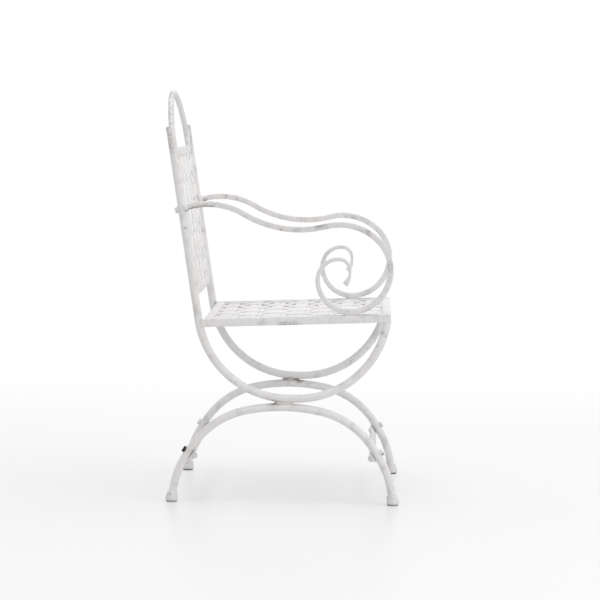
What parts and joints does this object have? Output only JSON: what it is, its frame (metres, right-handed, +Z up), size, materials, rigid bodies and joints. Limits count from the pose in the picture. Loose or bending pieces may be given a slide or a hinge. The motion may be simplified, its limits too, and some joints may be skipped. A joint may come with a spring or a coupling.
{
  "type": "garden armchair",
  "caption": "Garden armchair of painted iron bar with bowed legs on arches, scrolled arms, a woven strap seat and back, and a hooped top.",
  "frame": {"origin": "on the floor, under the middle of the chair's overall length and width", "axes": "+X to the front of the chair, +Y to the sitter's left, +Z up"},
  "size_m": [0.5452, 0.528, 0.9251],
  "materials": {
    "bar_paint": "antique white paint, worn",
    "strap_paint": "antique white paint, worn",
    "foot_paint": "antique white paint, scuffed",
    "dark_hardware": "blackened"
  },
  "bodies": {
    "root": {"arm_bolts": "dark_hardware", "arm_collars": "bar_paint", "arm_washers": "dark_hardware", "back_level_strap_1": "strap_paint", "back_level_strap_2": "strap_paint", "back_level_strap_3": "strap_paint", "back_level_strap_4": "strap_paint", "back_level_strap_5": "strap_paint", "back_upright_strap_1": "strap_paint", "back_upright_strap_2": "strap_paint", "back_upright_strap_3": "strap_paint", "back_upright_strap_4": "strap_paint", "back_upright_strap_5": "strap_paint", "back_upright_strap_6": "strap_paint", "back_upright_strap_7": "strap_paint", "back_upright_strap_8": "strap_paint", "back_upright_strap_9": "strap_paint", "front_seat_rail": "bar_paint", "front_stretcher": "bar_paint", "left_arm": "bar_paint", "left_arm_saddle": "bar_paint", "left_back_post": "bar_paint", "left_bowl_saddle": "bar_paint", "left_front_foot_cap": "foot_paint", "left_leg_arch": "bar_paint", "left_rear_foot_cap": "foot_paint", "left_seat_rail": "bar_paint", "lower_back_bar": "bar_paint", "rear_seat_rail": "bar_paint", "rear_stretcher": "bar_paint", "right_arm": "bar_paint", "right_arm_saddle": "bar_paint", "right_back_post": "bar_paint", "right_bowl_saddle": "bar_paint", "right_front_foot_cap": "foot_paint", "right_leg_arch": "bar_paint", "right_rear_foot_cap": "foot_paint", "right_seat_rail": "bar_paint", "seat_cross_strap_1": "strap_paint", "seat_cross_strap_2": "strap_paint", "seat_cross_strap_3": "strap_paint", "seat_cross_strap_4": "strap_paint", "seat_cross_strap_5": "strap_paint", "seat_cross_strap_6": "strap_paint", "seat_cross_strap_7": "strap_paint", "seat_long_strap_1": "strap_paint", "seat_long_strap_2": "strap_paint", "seat_long_strap_3": "strap_paint", "seat_long_strap_4": "strap_paint", "seat_long_strap_5": "strap_paint", "seat_long_strap_6": "strap_paint", "seat_long_strap_7": "strap_paint", "seat_long_strap_8": "strap_paint", "seat_long_strap_9": "strap_paint", "stretcher_bolts": "dark_hardware", "stretcher_nuts": "dark_hardware", "top_hoop": "bar_paint", "upper_back_bar": "bar_paint"}
  },
  "joints": []
}
